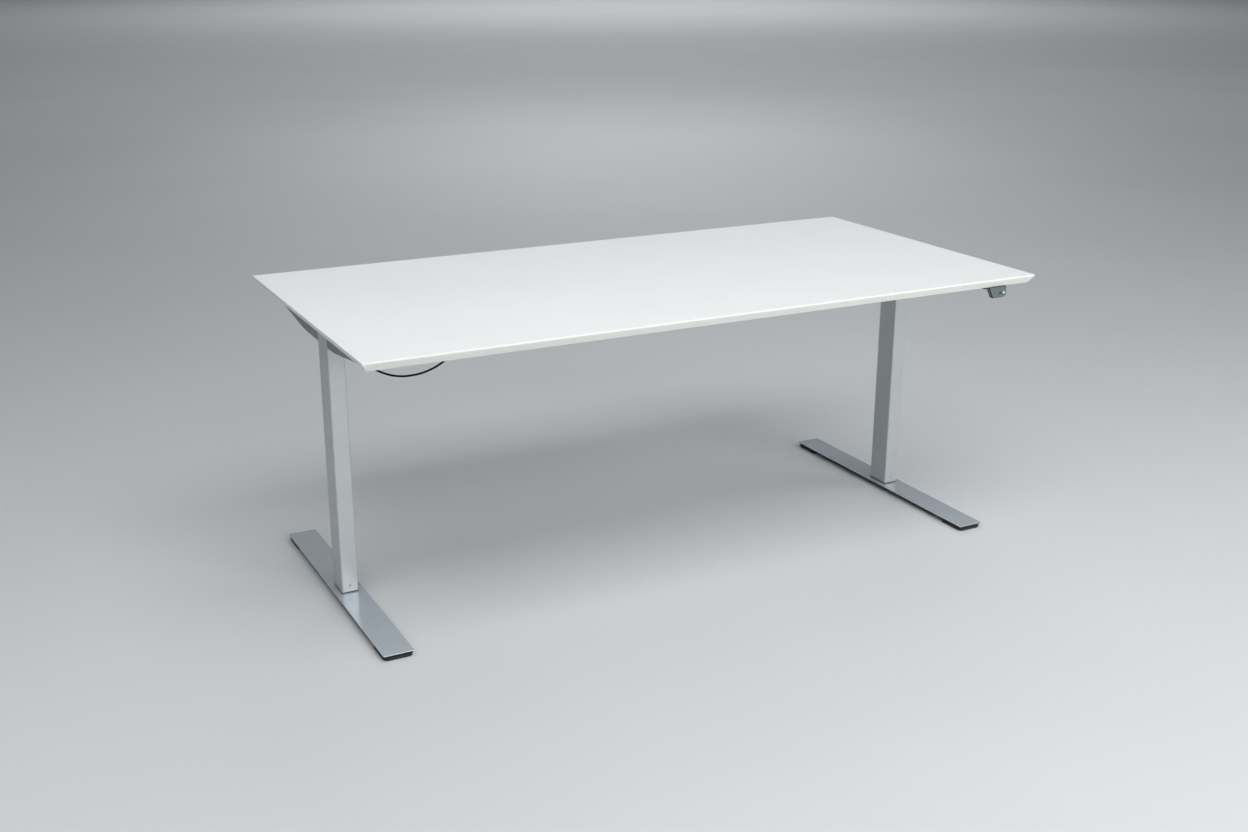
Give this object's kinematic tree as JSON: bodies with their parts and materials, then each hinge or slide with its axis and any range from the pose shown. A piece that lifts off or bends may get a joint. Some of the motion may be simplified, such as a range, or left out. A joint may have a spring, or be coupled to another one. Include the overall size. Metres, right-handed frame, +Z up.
{
  "type": "height adjustable standing desk",
  "caption": "Electric height adjustable desk: a white bevelled desktop on silver telescopic columns with flat steel feet, side arms and an under-edge handset.",
  "frame": {"origin": "on the floor under the middle of the desktop", "axes": "+X to the right along the desktop's long side, +Y to the back, +Z up"},
  "size_m": [1.8, 0.9, 0.728],
  "materials": {
    "desktop_white": "white laminate with white lacquered edges, satin",
    "foot_silver": "silver powder coat, semi-gloss",
    "foot_pad_black": "matte black",
    "zinc_steel": "zinc plated",
    "cast_aluminium": "die cast, satin",
    "inner_column_silver": "silver powder coat, satin",
    "frame_silver": "silver powder coat, satin",
    "arm_silver": "silver powder coat, satin",
    "rail_silver": "silver powder coat, satin",
    "glide_plastic": "smooth black acetal",
    "nut_brass": "machined",
    "spindle_steel": "rolled and ground",
    "motor_steel": "dark paint, satin",
    "box_plastic": "fine spark-eroded texture",
    "clip_plastic": "satin nylon",
    "tray_steel": "black paint, matte",
    "circuit_green": "solder mask, satin",
    "handset_black": "glossy black",
    "handset_grey": "glossy dark grey",
    "button_silver": "silver, glossy",
    "button_dark": "dark grey, satin",
    "cable_black": "black jacket, satin"
  },
  "bodies": {
    "base": {"left_foot_plate": "foot_silver", "left_front_pad": "foot_pad_black", "left_rear_pad": "foot_pad_black", "left_front_foot_screw": "zinc_steel", "left_rear_foot_screw": "zinc_steel", "left_foot_block": "cast_aluminium", "left_inner_column": "inner_column_silver", "left_upper_glide": "glide_plastic", "left_spindle_nut": "nut_brass", "right_foot_plate": "foot_silver", "right_front_pad": "foot_pad_black", "right_rear_pad": "foot_pad_black", "right_front_foot_screw": "zinc_steel", "right_rear_foot_screw": "zinc_steel", "right_foot_block": "cast_aluminium", "right_inner_column": "inner_column_silver", "right_upper_glide": "glide_plastic", "right_spindle_nut": "nut_brass"},
    "top_frame": {"desktop": "desktop_white", "left_outer_column": "frame_silver", "left_lower_glide": "glide_plastic", "left_gear_housing": "cast_aluminium", "left_thrust_bearing": "spindle_steel", "left_motor": "motor_steel", "left_motor_cap": "box_plastic", "left_front_arm": "arm_silver", "left_rear_arm": "arm_silver", "right_outer_column": "frame_silver", "right_lower_glide": "glide_plastic", "right_gear_housing": "cast_aluminium", "right_thrust_bearing": "spindle_steel", "right_motor": "motor_steel", "right_motor_cap": "box_plastic", "right_front_arm": "arm_silver", "right_rear_arm": "arm_silver", "front_rail": "rail_silver", "rear_rail": "rail_silver", "control_box_cover": "box_plastic", "control_box_tray": "tray_steel", "circuit_board": "circuit_green", "mains_inlet": "box_plastic", "left_motor_plug": "box_plastic", "right_motor_plug": "box_plastic", "handset_plug": "box_plastic", "handset_shell": "handset_black", "handset_face": "handset_grey", "left_motor_lead": "cable_black", "right_motor_lead": "cable_black", "handset_lead": "cable_black", "left_lead_outer_clip": "clip_plastic", "left_lead_inner_clip": "clip_plastic", "right_lead_outer_clip": "clip_plastic", "right_lead_inner_clip": "clip_plastic", "handset_lead_outer_clip": "clip_plastic", "handset_lead_inner_clip": "clip_plastic"},
    "left_spindle": {"left_spindle": "spindle_steel"},
    "right_spindle": {"right_spindle": "spindle_steel"},
    "up_button": {"up_button": "button_silver"},
    "down_button": {"down_button": "button_dark"}
  },
  "joints": [
    {"name": "lift", "type": "slide", "parent": "base", "child": "top_frame", "axis": [0, 0, 1], "range_m": [0, 0.48]},
    {"name": "left_spindle_turn", "type": "hinge", "parent": "top_frame", "child": "left_spindle", "pos_m": [-0.826, 0.027, 0.4], "axis": [0, 0, 1], "range_deg": [0, 28800]},
    {"name": "right_spindle_turn", "type": "hinge", "parent": "top_frame", "child": "right_spindle", "pos_m": [0.826, 0.027, 0.4], "axis": [0, 0, 1], "range_deg": [0, 28800]},
    {"name": "up_button_press", "type": "slide", "parent": "top_frame", "child": "up_button", "axis": [0, 1, 0], "range_m": [0, 0.0008], "stiffness_N_per_m": 1500},
    {"name": "down_button_press", "type": "slide", "parent": "top_frame", "child": "down_button", "axis": [0, 1, 0], "range_m": [0, 0.0008], "stiffness_N_per_m": 1500}
  ],
  "couplings": [
    {"joint": "left_spindle_turn", "follows": "lift", "rad_per_m": 1047.2},
    {"joint": "right_spindle_turn", "follows": "lift", "rad_per_m": 1047.2}
  ]
}
